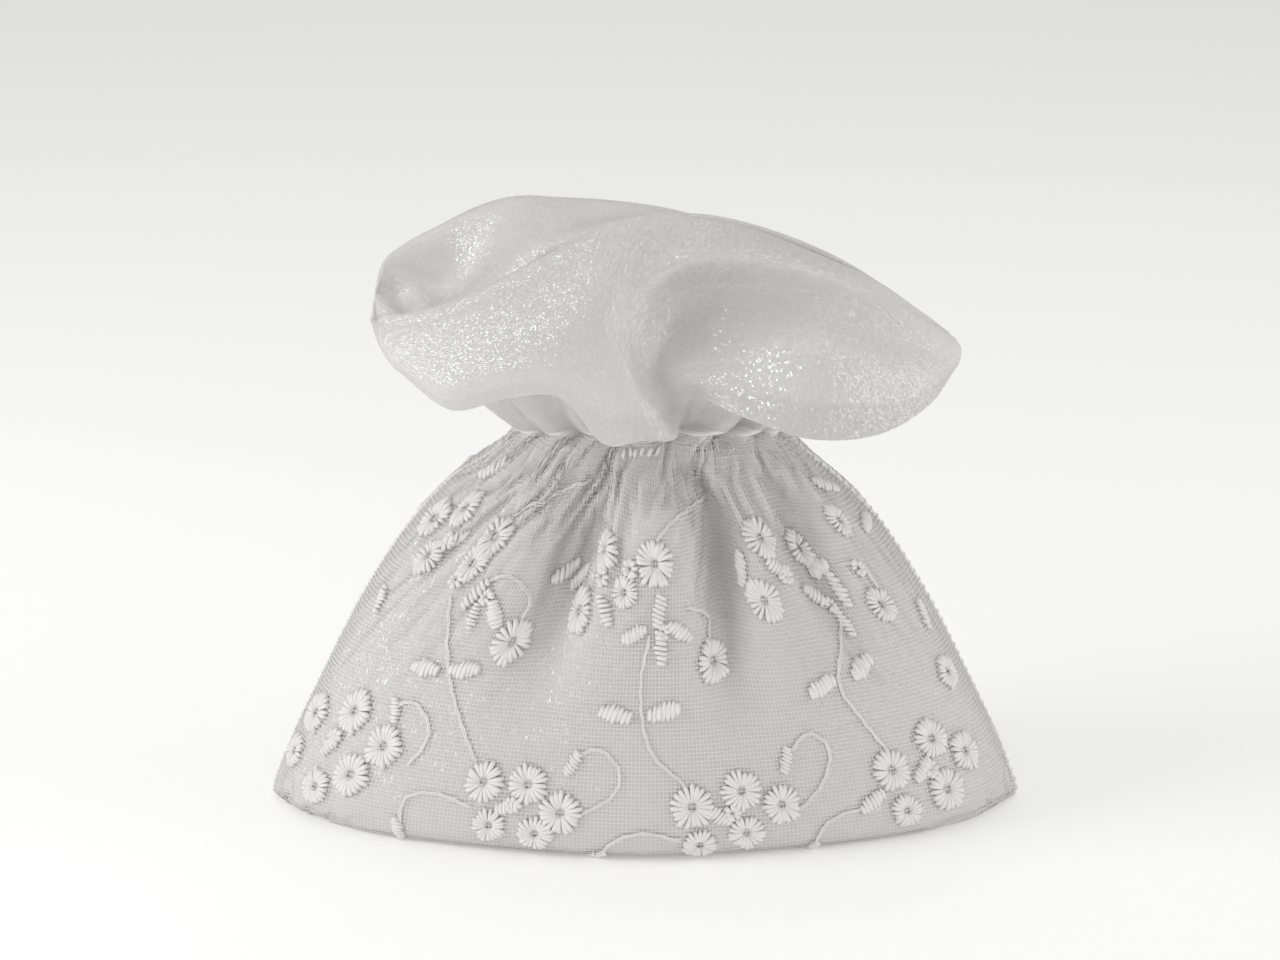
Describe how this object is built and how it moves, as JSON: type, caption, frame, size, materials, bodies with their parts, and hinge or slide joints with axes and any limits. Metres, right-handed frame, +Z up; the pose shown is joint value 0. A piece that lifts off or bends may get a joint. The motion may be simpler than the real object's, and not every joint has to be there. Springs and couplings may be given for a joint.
{
  "type": "drawstring gift pouch",
  "caption": "Filled fabric pouch of embroidered net over satin, gathered at the neck by a drawcord, with a soft puffed collar that folds over above it.",
  "frame": {"origin": "middle of the bottom seam, on the resting face", "axes": "+Z up through the neck, the front panel faces -Y, the side seams lie along X"},
  "size_m": [0.1202, 0.0609, 0.0978],
  "materials": {
    "embroidered_net": "fine square mesh net with satin-stitch embroidery, matte",
    "satin_lining": "satin with a soft sheen",
    "seam_tape": "matte",
    "channel_tape": "matte, gathered",
    "satin_cord": "satin sheen",
    "shimmer_organza": "fine glitter shimmer",
    "rolled_hem": "soft sheen"
  },
  "bodies": {
    "seams": {"side_seam_left": "seam_tape", "side_seam_right": "seam_tape", "bottom_seam": "seam_tape", "drawcord": "satin_cord"},
    "front": {"outer_net_front": "embroidered_net", "lining_front": "satin_lining", "cord_channel_front": "channel_tape", "collar_front": "shimmer_organza", "rim_hem_front": "rolled_hem"},
    "back": {"outer_net_back": "embroidered_net", "lining_back": "satin_lining", "cord_channel_back": "channel_tape", "collar_back": "shimmer_organza", "rim_hem_back": "rolled_hem"}
  },
  "joints": [
    {"name": "front_open", "type": "hinge", "parent": "seams", "child": "front", "pos_m": [0, -0.0285, 0], "axis": [1, 0, 0], "range_deg": [0, 12], "deforming": ["drawcord"]},
    {"name": "back_open", "type": "hinge", "parent": "seams", "child": "back", "pos_m": [0, 0.0285, 0], "axis": [-1, 0, 0], "range_deg": [0, 12]}
  ],
  "couplings": [
    {"joint": "back_open", "follows": "front_open", "ratio": 1}
  ]
}
